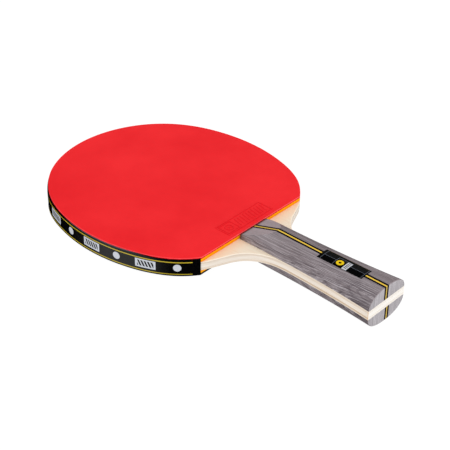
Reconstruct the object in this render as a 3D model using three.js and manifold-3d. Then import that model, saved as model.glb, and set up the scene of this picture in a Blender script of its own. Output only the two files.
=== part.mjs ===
// Table tennis paddle with a flared handle.
// Millimetres, +Z up. The red playing face looks up (+Z) and the black one down (-Z).
// +X runs along the handle towards the butt, and +Y is across the blade.
// The origin is under the middle of the paddle's length, at the height of the
// lowest point of the rear handle scale.
import * as THREE from "three";
import { mergeVertices } from "three/addons/utils/BufferGeometryUtils.js";
import Module from "manifold-3d";

const wasm = await Module();
wasm.setup();

// ---- driving dimensions ----
const BUTT_X = 128.6; // flat end of the handle
const CUT_X = 24.8; // straight edge where the red rubber stops
const REAR_CUT_X = 24.3; // and where the black one stops
const REAR_TRIM = 1.6; // the black rubber is trimmed this far inside the wood at its +Y corner
const REAR_TRIM_LENGTH = 24; // and runs out to flush over this length of edge
const HEAD_X = -36.1; // pole of the head's outline
// Head outline: radius about the pole = sum of HEAD_R[k] * cos(k * angle)
const HEAD_R = [80.14, -7.92, 4.11, -1.36, -1.14, -0.09, -0.06, 0.09, 0.14];
const HEAD_SEGMENTS = 66; // straight pieces round the head, from corner to corner

const MID_Z = 12.5; // height of the blade's middle plane
const FACE_PLY = 0.6; // thickness of each outer ply
const INNER_PLY = 1.15; // thickness of each ply under an outer ply
const CORE_PLY = 2.7; // thickness of the core ply
const SPONGE = 2.2; // sponge thickness, both faces
const TOPSHEET = 1.4; // top sheet thickness with its pips, both faces
const GLUE = 0.05; // glue line between neighbouring pieces

const TAPE_THICKNESS = 0.45; // edge tape
const TAPE_LOW = 6.45; // tape's lower border below the middle plane
const TAPE_HIGH = 5.85; // tape's upper border above the middle plane
const TAPE_SHORT = 0.8; // the tape stops this far before the -Y rubber corner
const TAPE_SHORT_FAR = 12.5; // and this far before the +Y one

// Neck of the blade, from the rubber corner to the side of the handle
// (x, half width on the -Y side); the +Y side is a little fuller
const NECK_FULLER = 0.8; // how much fuller the +Y side is at most
const NECK = [
  [24.8, 46.36],
  [26.3, 43.9],
  [28.0, 40.6],
  [29.8, 36.2],
  [31.7, 31.6],
  [33.7, 27.4],
  [36.1, 23.7],
  [39.1, 20.55],
  [42.8, 17.85],
  [47.3, 15.6],
  [53.3, 13.8],
  [60.3, 13.02],
  [67.8, 13.02],
];

const HANDLE_HALF_WIDTH = 12.5; // half width at the rubber's edge
const HANDLE_FLARE = 4.95; // how much wider each side gets at the butt
const FLARE_POWER = 2.5; // how late the flare opens
const SCALE_HEIGHT = 9.4; // crown of each scale above the blade's face
const CROWN_POWER = 2.3; // 2 is an ellipse, more is squarer
const BEVEL_LENGTH = 20.1; // sloped facet at the rubber end of each scale
const BEVEL_LOW = 3.0; // height of the facet above the blade's face at the rubber
const SCALE_GAP = 0.7; // between the rubber's edge and the end of a scale
const INLAY_YELLOW = 1.1; // width of the yellow strip in each scale
const INLAY_BLACK = 1.45; // width of the black strip on either side of it
const INLAY_SKEW = 0.018; // the strips run this much across the handle for each mm along it
const INLAY_MIDDLE_X = 72; // where they cross the middle line

const BADGE_X0 = 79.8; // badge plate, rubber end
const BADGE_X1 = 113.1; // badge plate, butt end
const BADGE_HALF = 5.1; // half width of the badge plate
const BADGE_SEAT = 11.4; // height of the flat seat cut for it, above the middle plane
const BADGE_PROUD = 0.25; // how far its crown stands above the scale
const BADGE_CLEAR = 0.1; // clearance round the badge in its seat

// ---- outlines ----
const headRadius = (a) =>
  HEAD_R.reduce((r, c, k) => r + c * Math.cos(k * a), 0);
const headPoint = (a) => [
  HEAD_X + headRadius(a) * Math.cos(a),
  headRadius(a) * Math.sin(a),
];

// Angle at which the head's outline meets the cut.
let CORNER = 0.3;
for (let lo = 0.3, hi = 1.2, i = 0; i < 60; i++) {
  CORNER = (lo + hi) / 2;
  if (headPoint(CORNER)[0] > CUT_X) lo = CORNER;
  else hi = CORNER;
}

// The head from the +Y corner round the tip to the -Y corner.
function headArc(segments) {
  const points = [];
  for (let i = 0; i <= segments; i++) {
    const a = CORNER + ((2 * Math.PI - 2 * CORNER) * i) / segments;
    points.push(headPoint(a));
  }
  return points;
}

const handleHalf = (x) =>
  HANDLE_HALF_WIDTH +
  HANDLE_FLARE *
    Math.pow(
      Math.max(0, (x - CUT_X) / (BUTT_X - CUT_X)),
      FLARE_POWER,
    );

// Half width of the blade from the cut to the butt, with the neck made fuller by a number of mm.
function bladeSide(fuller) {
  const neck = new THREE.SplineCurve(NECK.map(([x, y]) => new THREE.Vector2(x, y)));
  const bulge = (x) => {
    const t = Math.max(0, Math.min(1, (x - CUT_X) / 17));
    return fuller * Math.sin(Math.PI * t);
  };
  const points = neck.getPoints(20).map((p) => [p.x, p.y + bulge(p.x)]);
  for (const x of [76, 85, 93, 101, 109, 116, 122.5, BUTT_X])
    points.push([x, handleHalf(x)]);
  return points;
}

// ---- helpers ----
// A prism from an outline in the XY plane, between two heights above the middle plane.
function prism(outline, low, high) {
  const shape = new THREE.Shape(outline.map(([x, y]) => new THREE.Vector2(x, y)));
  const geometry = new THREE.ExtrudeGeometry(shape, {
    depth: high - low,
    bevelEnabled: false,
    steps: 1,
  });
  geometry.translate(0, 0, MID_Z + low);
  return geometry;
}

// A three.js geometry as a manifold solid, and back.
function toSolid(geometry) {
  const bare = geometry.index ? geometry.toNonIndexed() : geometry.clone();
  for (const name of Object.keys(bare.attributes))
    if (name !== "position") bare.deleteAttribute(name);
  const merged = mergeVertices(bare, 1e-4);
  return new wasm.Manifold(
    new wasm.Mesh({
      numProp: 3,
      vertProperties: merged.attributes.position.array,
      triVerts: new Uint32Array(merged.index.array),
    }),
  );
}
function toGeometry(solid) {
  const mesh = solid.getMesh();
  const count = mesh.vertProperties.length / mesh.numProp;
  const positions = new Float32Array(count * 3);
  for (let i = 0; i < count; i++)
    for (let k = 0; k < 3; k++)
      positions[3 * i + k] = mesh.vertProperties[i * mesh.numProp + k];
  const indexed = new THREE.BufferGeometry()
    .setAttribute("position", new THREE.BufferAttribute(positions, 3))
    .setIndex(new THREE.BufferAttribute(new Uint32Array(mesh.triVerts), 1));
  const geometry = indexed.toNonIndexed();
  geometry.computeVertexNormals();
  return geometry;
}
function block(x0, x1, y0, y1, z0, z1) {
  const geometry = new THREE.BoxGeometry(x1 - x0, y1 - y0, z1 - z0);
  geometry.translate((x0 + x1) / 2, (y0 + y1) / 2, (z0 + z1) / 2);
  return toSolid(geometry);
}

// A solid lofted through closed rings of points that all have the same length.
function loft(rings) {
  const n = rings[0].length;
  const positions = [];
  const put = (...points) => points.forEach((p) => positions.push(...p));
  for (let i = 0; i + 1 < rings.length; i++)
    for (let j = 0; j < n; j++) {
      const k = (j + 1) % n;
      const [a, b, c, d] = [
        rings[i][j],
        rings[i][k],
        rings[i + 1][k],
        rings[i + 1][j],
      ];
      put(a, b, c);
      put(a, c, d);
    }
  // End caps: rings are convex, so a fan from the first point fills them.
  const first = rings[0];
  const last = rings[rings.length - 1];
  for (let j = 1; j + 1 < n; j++) {
    put(first[0], first[j + 1], first[j]);
    put(last[0], last[j], last[j + 1]);
  }
  return new THREE.BufferGeometry().setAttribute(
    "position",
    new THREE.BufferAttribute(new Float32Array(positions), 3),
  );
}

const paddle = new THREE.Group();
function add(name, geometry, color, roughness, metalness = 0) {
  if (!geometry.attributes.normal) geometry.computeVertexNormals();
  const mesh = new THREE.Mesh(
    geometry,
    new THREE.MeshStandardMaterial({ color, roughness, metalness }),
  );
  mesh.name = name;
  paddle.add(mesh);
  return mesh;
}

// ---- blade: five plies glued face to face, sawn to one outline ----
const arc = headArc(HEAD_SEGMENTS);
const bladeOutline = [
  ...arc, // +Y corner, tip, -Y corner
  ...bladeSide(0).slice(1).map(([x, y]) => [x, -y]), // down the -Y side to the butt
  ...bladeSide(NECK_FULLER).slice(1).reverse(), // and back up the +Y side
];
// The black rubber is cut a little nearer the tip and trimmed inside the wood at one corner.
const rearCut = (() => {
  let run = 0;
  const moved = arc.map(([x, y], i) => {
    const before = arc[Math.max(0, i - 1)];
    const after = arc[Math.min(arc.length - 1, i + 1)];
    if (i) run += Math.hypot(x - before[0], y - before[1]);
    const t = Math.min(1, run / REAR_TRIM_LENGTH);
    const trim = REAR_TRIM * (1 - t * t * (3 - 2 * t));
    const dx = after[0] - before[0];
    const dy = after[1] - before[1];
    const length = Math.hypot(dx, dy);
    return [x - (dy / length) * trim, y + (dx / length) * trim];
  });
  const last = moved.length - 1;
  const slide = (a, b) => {
    const t = (REAR_CUT_X - b[0]) / (a[0] - b[0]);
    return [REAR_CUT_X, b[1] + t * (a[1] - b[1])];
  };
  return [slide(moved[0], moved[1]), ...moved.slice(1, last), slide(moved[last], moved[last - 1])];
})();

const half = CORE_PLY / 2;
const inner = half + INNER_PLY;
const face = inner + FACE_PLY;
add("blade_core_ply", prism(bladeOutline, -half, half), 0xf3e7db, 0.7);
add("front_inner_ply", prism(bladeOutline, half + GLUE, inner), 0xd5bea5, 0.7);
add("rear_inner_ply", prism(bladeOutline, -inner, -half - GLUE), 0xd5bea5, 0.7);
add("front_face_ply", prism(bladeOutline, inner + GLUE, face), 0xf5cba6, 0.6);
add("rear_face_ply", prism(bladeOutline, -face, -inner - GLUE), 0xf5cba6, 0.6);

// ---- rubbers: sponge and top sheet on both faces, cut flush with the blade ----
const sponge = face + SPONGE;
const sheet = sponge + TOPSHEET;
add("front_sponge", prism(arc, face + GLUE, sponge), 0xfc9b0f, 0.9);
add("rear_sponge", prism(rearCut, -sponge, -face - GLUE), 0xff8600, 0.9);
add("front_topsheet", prism(arc, sponge + GLUE, sheet), 0xf02a32, 0.5);
add("rear_topsheet", prism(rearCut, -sheet, -sponge - GLUE), 0x17161a, 0.5);

// ---- edge tape round the head ----
// It follows the outline at a glue line's distance and stops short of both corners.
{
  const along = [0];
  for (let i = 1; i < arc.length; i++)
    along.push(along[i - 1] + Math.hypot(arc[i][0] - arc[i - 1][0], arc[i][1] - arc[i - 1][1]));
  const total = along[arc.length - 1];
  // place and outward normal at a distance along the outline from the +Y corner
  const at = (d) => {
    let i = 1;
    while (i < arc.length - 1 && along[i] < d) i++;
    const t = (d - along[i - 1]) / (along[i] - along[i - 1]);
    const [ax, ay] = arc[i - 1];
    const [bx, by] = arc[i];
    const before = arc[Math.max(0, i - 2)];
    const after = arc[Math.min(arc.length - 1, i + 1)];
    const dx = after[0] - before[0];
    const dy = after[1] - before[1];
    const length = Math.hypot(dx, dy);
    // the outline runs anticlockwise, so its outward normal is (dy, -dx)
    return [ax + t * (bx - ax), ay + t * (by - ay), dy / length, -dx / length];
  };
  const ends = [TAPE_SHORT_FAR, total - TAPE_SHORT];
  const places = [ends[0], ...along.filter((d) => d > ends[0] + 0.5 && d < ends[1] - 0.5), ends[1]];
  const inside = [];
  const outside = [];
  for (const d of places) {
    const onPoint = along.indexOf(d);
    let [x, y, nx, ny] = at(d);
    if (onPoint > 0 && onPoint < arc.length - 1) {
      const dx = arc[onPoint + 1][0] - arc[onPoint - 1][0];
      const dy = arc[onPoint + 1][1] - arc[onPoint - 1][1];
      const length = Math.hypot(dx, dy);
      [x, y] = arc[onPoint];
      nx = dy / length;
      ny = -dx / length;
    }
    inside.push([x + nx * GLUE, y + ny * GLUE]);
    outside.push([x + nx * (GLUE + TAPE_THICKNESS), y + ny * (GLUE + TAPE_THICKNESS)]);
  }
  add(
    "edge_tape",
    prism([...outside, ...inside.reverse()], -TAPE_LOW, TAPE_HIGH),
    0x100c16,
    0.35,
  );
}

// ---- handle scales: domed blocks with a bevelled end and an inlaid strip ----
// Crown of a scale above the blade's face, at a place across the handle.
const crown = (x, y) => {
  const s = Math.min(1, Math.abs(y) / handleHalf(x));
  return SCALE_HEIGHT * Math.pow(1 - Math.pow(s, CROWN_POWER), 1 / CROWN_POWER);
};
// Section of a scale: half of an oval standing on the blade's face.
function scaleRing(x) {
  const w = handleHalf(x);
  const ring = [];
  const steps = 18;
  for (let i = 0; i <= steps; i++) {
    const a = (Math.PI * i) / steps;
    const c = Math.cos(a);
    const s = Math.sin(a);
    const p = 2 / CROWN_POWER;
    ring.push([
      x,
      Math.sign(c) * w * Math.pow(Math.abs(c), p),
      face + GLUE + (SCALE_HEIGHT - GLUE) * Math.pow(s, p),
    ]);
  }
  return ring;
}
const stations = [CUT_X + SCALE_GAP, 44, 58, 68, 77, 85, 93, 101, 108, 114, 119, 124, BUTT_X];
const dome = toSolid(loft(stations.map(scaleRing)));

// The bevel: everything above a plane that climbs away from the rubber.
const top = face + SCALE_HEIGHT;
const bevelCut = (() => {
  const x0 = CUT_X - 5;
  const slope = (SCALE_HEIGHT - BEVEL_LOW) / BEVEL_LENGTH;
  const z0 = face + BEVEL_LOW - 5 * slope;
  const x1 = CUT_X + BEVEL_LENGTH + 5;
  const z1 = top + 5 * slope;
  const outline = [
    [x0, z0],
    [x1, z1],
    [x1, z1 + 5],
    [x0, z1 + 5],
  ];
  const shape = new THREE.Shape(outline.map(([x, z]) => new THREE.Vector2(x, z)));
  const geometry = new THREE.ExtrudeGeometry(shape, { depth: 60, bevelEnabled: false });
  geometry.rotateX(Math.PI / 2); // the outline's second axis becomes Z
  geometry.translate(0, 30, 0);
  return toSolid(geometry);
})();
const scale = dome.subtract(bevelCut);

// Flat seat for the badge in the front scale.
const seat = block(
  BADGE_X0 - BADGE_CLEAR,
  BADGE_X1 + BADGE_CLEAR,
  -BADGE_HALF - BADGE_CLEAR,
  BADGE_HALF + BADGE_CLEAR,
  BADGE_SEAT,
  top + 5,
);
const frontScale = scale.subtract(seat);

const y1 = INLAY_YELLOW / 2;
const y2 = y1 + INLAY_BLACK;
const g = GLUE / 2;
const STRIPS = [
  ["scale_right", y2 + g, 40, 0x877d82, 0.7],
  ["inlay_black_right", y1 + g, y2 - g, 0x0a081e, 0.5],
  ["inlay_yellow", -y1 + g, y1 - g, 0xf0c846, 0.5],
  ["inlay_black_left", -y2 + g, -y1 - g, 0x0a081e, 0.5],
  ["scale_left", -40, -y2 - g, 0x877d82, 0.7],
];
// A slab between two distances across the handle, running slightly askew along it.
function strip(from, to, sign) {
  const skew = Math.atan(INLAY_SKEW) * sign;
  const geometry = new THREE.BoxGeometry(300, to - from, 40);
  geometry.translate(0, (from + to) / 2, 20);
  geometry.rotateZ(-skew);
  geometry.translate(INLAY_MIDDLE_X, 0, 0);
  return toSolid(geometry);
}
for (const [side_, solid, sign] of [
  ["front", frontScale, 1],
  ["rear", scale, -1],
])
  for (const [name, from, to, color, roughness] of STRIPS) {
    const geometry = toGeometry(solid.intersect(strip(from, to, sign)));
    // The rear scale is the front one turned half round the handle's axis.
    if (sign < 0) geometry.rotateX(Math.PI);
    geometry.translate(0, 0, MID_Z);
    const label =
      sign < 0
        ? name.replace("left", "L").replace("right", "left").replace("L", "right")
        : name;
    add(side_ + "_" + label, geometry, color, roughness);
  }

// ---- badge: a thin plate with a crowned top, glued in its seat ----
{
  const stations_ = [BADGE_X0, 91, 102, BADGE_X1];
  const across = [-5, -3.75, -2.5, -1.25, 0, 1.25, 2.5, 3.75, 5].map(
    (y) => (y / 5) * BADGE_HALF,
  );
  const ring = (x) => [
    ...across.map((y) => [x, y, MID_Z + face + crown(x, y) + BADGE_PROUD]).reverse(),
    [x, -BADGE_HALF, MID_Z + BADGE_SEAT + GLUE],
    [x, BADGE_HALF, MID_Z + BADGE_SEAT + GLUE],
  ];
  add("handle_badge", loft(stations_.map(ring)), 0x161616, 0.35, 0.2);
}

export default paddle;
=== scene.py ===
# Table tennis paddle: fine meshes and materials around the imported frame.
# Lengths in the code are millimetres in the row frame; heights called h are above the blade's middle plane.
import math

import bmesh
import bpy
import numpy as np
from mathutils import Matrix, Vector
from mathutils.geometry import delaunay_2d_cdt


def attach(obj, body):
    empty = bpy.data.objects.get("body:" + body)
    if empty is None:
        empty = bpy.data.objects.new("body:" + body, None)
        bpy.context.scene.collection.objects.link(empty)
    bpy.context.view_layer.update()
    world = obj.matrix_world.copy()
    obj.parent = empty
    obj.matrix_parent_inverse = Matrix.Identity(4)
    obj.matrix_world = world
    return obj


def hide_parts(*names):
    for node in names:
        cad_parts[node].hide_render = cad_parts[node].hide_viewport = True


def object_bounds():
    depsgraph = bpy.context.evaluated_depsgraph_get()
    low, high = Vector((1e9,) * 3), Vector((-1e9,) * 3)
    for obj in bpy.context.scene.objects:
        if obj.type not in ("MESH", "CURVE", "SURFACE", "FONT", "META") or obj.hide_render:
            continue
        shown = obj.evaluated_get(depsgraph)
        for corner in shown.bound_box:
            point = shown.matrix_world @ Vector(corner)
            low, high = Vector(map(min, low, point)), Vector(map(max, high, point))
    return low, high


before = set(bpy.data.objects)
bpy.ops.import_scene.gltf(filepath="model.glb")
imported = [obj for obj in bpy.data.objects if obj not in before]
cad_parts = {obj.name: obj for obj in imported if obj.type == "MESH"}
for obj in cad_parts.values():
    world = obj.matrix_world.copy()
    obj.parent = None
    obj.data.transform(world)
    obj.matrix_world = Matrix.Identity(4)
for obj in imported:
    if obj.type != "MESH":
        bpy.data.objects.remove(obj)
CAD_LO, CAD_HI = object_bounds()

# ------------------------------------------------------------------ dimensions
BUTT_X, CUT_X, REAR_CUT_X, HEAD_X = 128.6, 24.8, 24.3, -36.1
HEAD_R = [80.14, -7.92, 4.11, -1.36, -1.14, -0.09, -0.06, 0.09, 0.14]
MID_Z = 12.5
HALF, INNER, FACE = 1.35, 2.5, 3.1
SPONGE_H, SHEET_H = 5.3, 6.7
GLUE = 0.05
NECK = [
    (24.8, 46.36), (26.3, 43.9), (28.0, 40.6), (29.8, 36.2), (31.7, 31.6), (33.7, 27.4), (36.1, 23.7),
    (39.1, 20.55), (42.8, 17.85), (47.3, 15.6), (53.3, 13.8), (60.3, 13.02), (67.8, 13.02),
]
TAPE_LOW, TAPE_HIGH, TAPE_SHORT, TAPE_SHORT_FAR, TAPE_T = -6.45, 5.85, 0.8, 12.5, 0.45
SCALE_H, CROWN, BEVEL_LEN, BEVEL_LOW, SCALE_X0 = 9.4, 2.3, 20.1, 3.0, 25.5
STRIP_Y1, STRIP_Y2, SKEW, SKEW_X = 0.55, 2.0, 0.018, 72.0
BADGE_X0, BADGE_X1, BADGE_HALF, BADGE_PROUD = 79.8, 113.1, 5.1, 0.25


def half_width(x):
    return 12.5 + 4.95 * np.clip((np.asarray(x, float) - CUT_X) / (BUTT_X - CUT_X), 0, None) ** 2.5


def head_point(a):
    r = sum(c * np.cos(k * a) for k, c in enumerate(HEAD_R))
    return HEAD_X + r * np.cos(a), r * np.sin(a)


def crown(x, y):
    """Height of a handle scale's crown above the middle plane."""
    s = np.minimum(1, np.abs(y) / half_width(x))
    return FACE + SCALE_H * (1 - s**CROWN) ** (1 / CROWN)


lo_a, hi_a = 0.3, 1.2
for _ in range(60):
    mid_a = (lo_a + hi_a) / 2
    if head_point(mid_a)[0] > CUT_X:
        lo_a = mid_a
    else:
        hi_a = mid_a
CORNER = (lo_a + hi_a) / 2

HEAD_N = 440
_a = np.linspace(CORNER, 2 * math.pi - CORNER, HEAD_N + 1)
HEAD = np.column_stack(head_point(_a))  # +Y corner, round the tip, -Y corner


def spline(points, per_span):
    """three.js SplineCurve: a uniform Catmull-Rom through the points."""
    p = np.array(points, float)
    out = []
    for i in range(len(p) - 1):
        p0, p1, p2, p3 = p[max(i - 1, 0)], p[i], p[i + 1], p[min(i + 2, len(p) - 1)]
        v0, v1 = (p2 - p0) / 2, (p3 - p1) / 2
        for t in np.arange(per_span) / per_span:
            out.append((2 * p1 - 2 * p2 + v0 + v1) * t**3 + (-3 * p1 + 3 * p2 - 2 * v0 - v1) * t**2 + v0 * t + p1)
    out.append(p[-1])
    return np.array(out)


_neck = spline(NECK, 14)
_x = np.arange(69.5, BUTT_X, 1.7)
SIDE = np.vstack([_neck, np.column_stack([_x, half_width(_x)]), [[BUTT_X, float(half_width(BUTT_X))]]])


def side_curve(fuller):
    """The blade's side from the cut to the butt, with the neck made fuller by so many mm."""
    t = np.clip((SIDE[:, 0] - CUT_X) / 17, 0, 1)
    return np.column_stack([SIDE[:, 0], SIDE[:, 1] + fuller * np.sin(math.pi * t**0.8)])



rng = np.random.default_rng(7)


def smooth01(t):
    t = np.clip(t, 0, 1)
    return t * t * (3 - 2 * t)


def ripple(s, seed, lengths=(3.0, 7.0, 17.0), weights=(0.3, 0.5, 1.0)):
    """A smooth seeded wave along s, in about -1..1."""
    g = np.random.default_rng(seed)
    s = np.asarray(s, float)
    total = np.zeros_like(s)
    for length, weight in zip(lengths, weights):
        total += weight * np.sin(2 * math.pi * s / length + g.uniform(0, 6.28)) * (
            0.6 + 0.4 * np.sin(2 * math.pi * s / (length * 2.7) + g.uniform(0, 6.28))
        )
    return total / sum(weights)


# ------------------------------------------------------------------ mesh helpers
def outward(points):
    """Unit outward normals of a closed anticlockwise outline."""
    d = np.roll(points, -1, 0) - np.roll(points, 1, 0)
    n = np.column_stack([d[:, 1], -d[:, 0]])
    return n / np.linalg.norm(n, axis=1, keepdims=True)


def new_object(name, verts, faces, materials, smooth=True, sharp_deg=32, index=None, node=None):
    """verts in mm with h above the middle plane; faces wound to point out."""
    v = np.array(verts, float)
    v[:, 2] += MID_Z
    mesh = bpy.data.meshes.new(name)
    mesh.from_pydata((v / 1000).tolist(), [], [tuple(int(i) for i in f) for f in faces])
    mesh.update()
    return adopt(name, mesh, materials, smooth, sharp_deg, index, node)


def adopt(name, mesh, materials, smooth=True, sharp_deg=32, index=None, node=None):
    for m in materials:
        mesh.materials.append(m)
    if index is not None:
        mesh.polygons.foreach_set("material_index", np.array(index, np.int32))
    flags = np.ones(len(mesh.polygons), bool) if smooth is True else np.array(smooth, bool)
    mesh.polygons.foreach_set("use_smooth", flags)
    if sharp_deg:
        mesh.set_sharp_from_angle(angle=math.radians(sharp_deg))
    mesh.validate()
    mesh.update()
    taken = bpy.data.objects.get(name)
    if taken is not None:  # the CAD node of the same name keeps its mesh and place, under another name
        taken.name = name + "_frame"
    obj = bpy.data.objects.new(name, mesh)
    bpy.context.scene.collection.objects.link(obj)
    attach(obj, "root")
    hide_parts(node or name)
    return obj


def prism(outline, levels, inset):
    """Rings of the outline at the given heights, each moved in by inset(h) (one number for each point), with flat caps."""
    n = len(outline)
    normal = outward(outline)
    verts, faces, side = [], [], []
    for h in levels:
        p = outline - normal * np.asarray(inset(h)).reshape(-1, 1)
        verts.append(np.column_stack([p, np.full(n, h)]))
    for k in range(len(levels) - 1):
        a, b = k * n, (k + 1) * n
        for i in range(n):
            j = (i + 1) % n
            faces.append((a + i, a + j, b + j, b + i))
            side.append(True)
    faces.append(tuple(range(n - 1, -1, -1)))
    faces.append(tuple((len(levels) - 1) * n + i for i in range(n)))
    side += [False, False]
    return np.vstack(verts), faces, side


# ------------------------------------------------------------------ material helpers
def lin(r, g, b, k=1.0):
    """An 8-bit sRGB colour as linear RGBA, times k."""
    out = []
    for c in (r, g, b):
        c = c / 255
        c = c / 12.92 if c <= 0.04045 else ((c + 0.055) / 1.055) ** 2.4
        out.append(min(1.0, c * k))
    return (*out, 1.0)


class Mat:
    def __init__(self, name, roughness=0.5, specular=0.3):
        self.m = bpy.data.materials.new(name)
        self.m.use_nodes = True
        self.t = self.m.node_tree
        self.t.nodes.clear()
        self.out = self.t.nodes.new("ShaderNodeOutputMaterial")
        self.bsdf = self.t.nodes.new("ShaderNodeBsdfPrincipled")
        self.t.links.new(self.bsdf.outputs[0], self.out.inputs[0])
        self.bsdf.inputs["Roughness"].default_value = roughness
        self.bsdf.inputs["Specular IOR Level"].default_value = specular

    def put(self, socket, value):
        if isinstance(value, bpy.types.NodeSocket):
            self.t.links.new(value, socket)
        else:
            socket.default_value = value

    def node(self, kind, **props):
        n = self.t.nodes.new(kind)
        for k, v in props.items():
            setattr(n, k, v)
        return n

    def math(self, op, a, b=None, c=None, clamp=False):
        n = self.node("ShaderNodeMath", operation=op, use_clamp=clamp)
        for i, v in enumerate((a, b, c)):
            if v is not None:
                self.put(n.inputs[i], v)
        return n.outputs[0]

    def add(self, a, b): return self.math("ADD", a, b)
    def sub(self, a, b): return self.math("SUBTRACT", a, b)
    def mul(self, a, b): return self.math("MULTIPLY", a, b)
    def mx(self, a, b): return self.math("MAXIMUM", a, b)
    def mn(self, a, b): return self.math("MINIMUM", a, b)
    def ab(self, a): return self.math("ABSOLUTE", a)
    def fract(self, a): return self.math("FRACT", a)

    def step(self, v, lo, hi, a=0.0, b=1.0):
        """Smooth step of v from lo to hi, giving a to b."""
        n = self.node("ShaderNodeMapRange", interpolation_type="SMOOTHSTEP")
        for i, x in zip((0, 1, 2, 3, 4), (v, lo, hi, a, b)):
            self.put(n.inputs[i], x)
        return n.outputs[0]

    def box(self, u, v, u0, u1, v0, v1, soft=0.05):
        """1 inside the rectangle, with a soft edge."""
        du = self.sub(self.ab(self.sub(u, (u0 + u1) / 2)), (u1 - u0) / 2)
        dv = self.sub(self.ab(self.sub(v, (v0 + v1) / 2)), (v1 - v0) / 2)
        return self.step(self.mx(du, dv), -soft, soft, 1.0, 0.0)

    def frame_line(self, u, v, u0, u1, v0, v1, width, soft=0.05):
        du = self.sub(self.ab(self.sub(u, (u0 + u1) / 2)), (u1 - u0) / 2)
        dv = self.sub(self.ab(self.sub(v, (v0 + v1) / 2)), (v1 - v0) / 2)
        return self.step(self.ab(self.mx(du, dv)), width / 2 - soft, width / 2 + soft, 1.0, 0.0)

    def pos(self):
        """Object position in millimetres, as (vector, x, y, z)."""
        tc = self.node("ShaderNodeTexCoord")
        s = self.node("ShaderNodeVectorMath", operation="SCALE")
        self.put(s.inputs[0], tc.outputs["Object"])
        s.inputs["Scale"].default_value = 1000
        x = self.node("ShaderNodeSeparateXYZ")
        self.put(x.inputs[0], s.outputs[0])
        return s.outputs[0], x.outputs[0], x.outputs[1], x.outputs[2]

    def vec(self, x, y, z):
        n = self.node("ShaderNodeCombineXYZ")
        for i, v in enumerate((x, y, z)):
            self.put(n.inputs[i], v)
        return n.outputs[0]

    def scale(self, vector, sx, sy, sz, ox=0.0, oy=0.0, oz=0.0):
        n = self.node("ShaderNodeMapping")
        self.put(n.inputs[0], vector)
        n.inputs["Scale"].default_value = (sx, sy, sz)
        n.inputs["Location"].default_value = (ox, oy, oz)
        return n.outputs[0]

    def noise(self, vector, scale=1.0, detail=3.0, rough=0.55, distortion=0.0):
        n = self.node("ShaderNodeTexNoise")
        self.put(n.inputs["Vector"], vector)
        n.inputs["Scale"].default_value = scale
        n.inputs["Detail"].default_value = detail
        n.inputs["Roughness"].default_value = rough
        n.inputs["Distortion"].default_value = distortion
        return n.outputs[0]

    def voronoi(self, vector, scale=1.0, feature="F1", random=1.0):
        n = self.node("ShaderNodeTexVoronoi", feature=feature)
        self.put(n.inputs["Vector"], vector)
        n.inputs["Scale"].default_value = scale
        n.inputs["Randomness"].default_value = random
        return n.outputs["Distance"]

    def ramp(self, value, stops):
        n = self.node("ShaderNodeValToRGB")
        r = n.color_ramp
        while len(r.elements) > 1:
            r.elements.remove(r.elements[-1])
        r.elements[0].position, r.elements[0].color = stops[0][0], stops[0][1]
        for p, c in stops[1:]:
            r.elements.new(p).color = c
        self.put(n.inputs[0], value)
        return n.outputs[0]

    def mix(self, f, a, b, blend="MIX"):
        n = self.node("ShaderNodeMix", data_type="RGBA", blend_type=blend, clamp_factor=True)
        self.put(n.inputs[0], f)
        self.put(n.inputs[6], a)
        self.put(n.inputs[7], b)
        return n.outputs[2]

    def normal(self):
        g = self.node("ShaderNodeNewGeometry")
        s = self.node("ShaderNodeSeparateXYZ")
        self.put(s.inputs[0], g.outputs["Normal"])
        return s.outputs

    def bump(self, height, strength, distance_mm):
        n = self.node("ShaderNodeBump")
        n.inputs["Strength"].default_value = strength
        n.inputs["Distance"].default_value = distance_mm / 1000
        self.put(n.inputs["Height"], height)
        self.put(self.bsdf.inputs["Normal"], n.outputs[0])

    def color(self, c): self.put(self.bsdf.inputs["Base Color"], c)
    def rough(self, r): self.put(self.bsdf.inputs["Roughness"], r)


E = 0.86  # the light level the base colours are balanced for


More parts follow.
